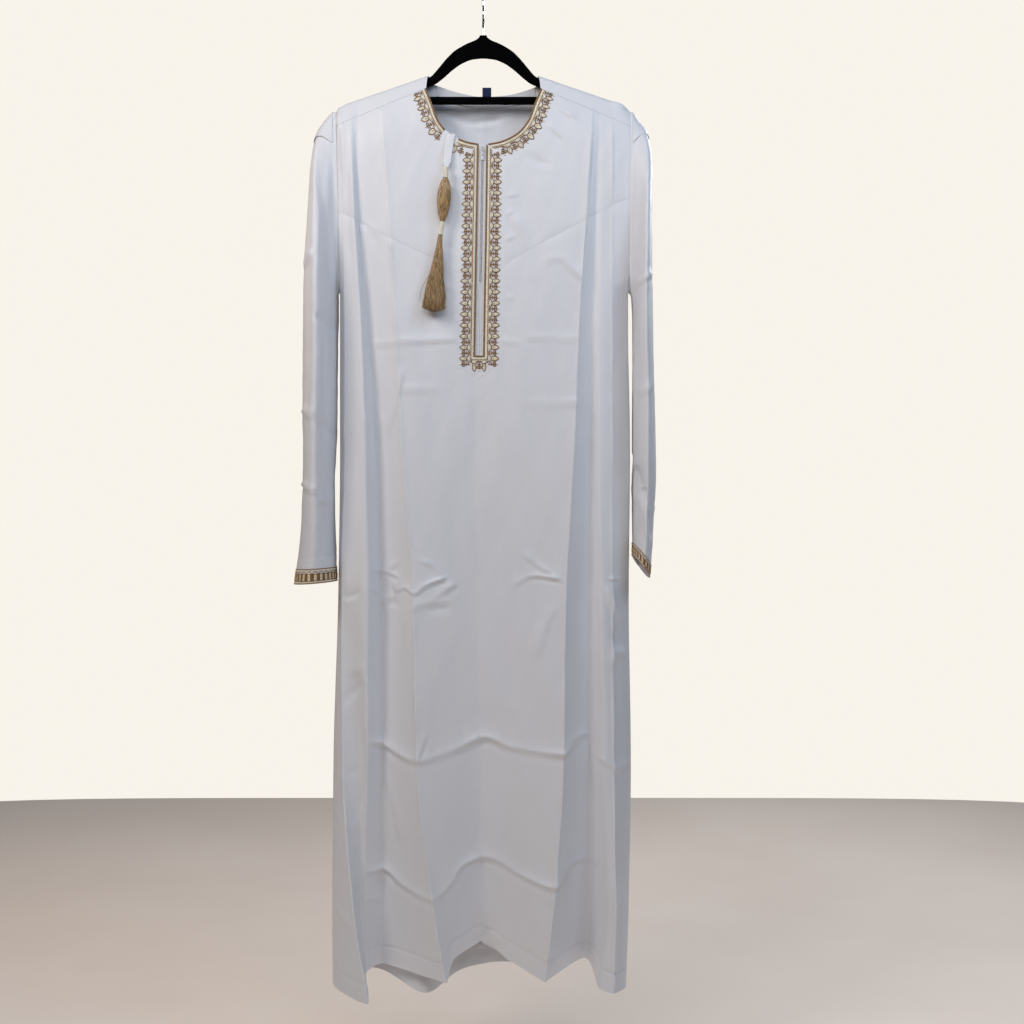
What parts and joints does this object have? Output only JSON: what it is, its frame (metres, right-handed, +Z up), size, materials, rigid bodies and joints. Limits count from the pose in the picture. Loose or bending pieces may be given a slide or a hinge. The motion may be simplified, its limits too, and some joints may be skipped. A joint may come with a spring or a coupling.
{
  "type": "thobe robe on a clothes hanger",
  "caption": "Long white robe with long sleeves, a braided round neck and zip slit with a hanging tassel, folded and hung on a thin velvet hanger with a wire hook.",
  "frame": {"origin": "the bearing point inside the top of the hanger's hook", "axes": "+Z up, the robe's front faces -Y, +X to the right as seen from the front"},
  "size_m": [0.5775, 0.156, 1.5936],
  "materials": {
    "cloth": "satin-faced white weave",
    "braid": "brown and cream machine embroidery",
    "zip_tape": "white woven tape",
    "zip_metal": "bright plated",
    "tassel_thread": "golden brown silky thread",
    "binding_thread": "cream wound thread",
    "label_weave": "navy woven label, bare",
    "velvet": "black flock",
    "hook_wire": "polished wire"
  },
  "bodies": {
    "robe": {"front_chest_left": "cloth", "front_chest_right": "cloth", "front_waist_left": "cloth", "front_waist_right": "cloth", "front_knee_left": "cloth", "front_knee_right": "cloth", "front_hem_left": "cloth", "front_hem_right": "cloth", "back_shoulder_left": "cloth", "back_shoulder_right": "cloth", "back_chest_left": "cloth", "back_chest_right": "cloth", "back_waist_left": "cloth", "back_waist_right": "cloth", "back_knee_left": "cloth", "back_knee_right": "cloth", "back_hem_left": "cloth", "back_hem_right": "cloth", "sleeve_left_upper": "cloth", "sleeve_left_lower": "cloth", "sleeve_right_upper": "cloth", "sleeve_right_lower": "cloth", "front_yoke_left": "cloth", "front_yoke_right": "cloth", "shoulder_left": "cloth", "shoulder_right": "cloth", "sleeve_cap_left": "cloth", "sleeve_cap_right": "cloth", "tassel_tab": "cloth", "cuff_trim_left": "braid", "cuff_trim_right": "braid", "placket_trim_left": "braid", "placket_trim_right": "braid", "placket_trim_foot": "braid", "neck_trim_left": "braid", "neck_trim_left_front": "braid", "neck_trim_right": "braid", "zip_tape_left": "zip_tape", "zip_tape_right": "zip_tape", "zip_slider": "zip_metal", "tassel_bulb": "tassel_thread", "tassel_brush": "tassel_thread", "tassel_collar_upper": "binding_thread", "tassel_collar_lower": "binding_thread", "neck_label": "label_weave", "hanger": "velvet", "hook": "hook_wire"},
    "pull": {"zip_pull": "zip_metal"}
  },
  "joints": [
    {"name": "pull_swing", "type": "hinge", "parent": "robe", "child": "pull", "pos_m": [-0.00073, -0.02833, -0.252], "axis": [-1, 0, 0], "range_deg": [0, 150]}
  ]
}
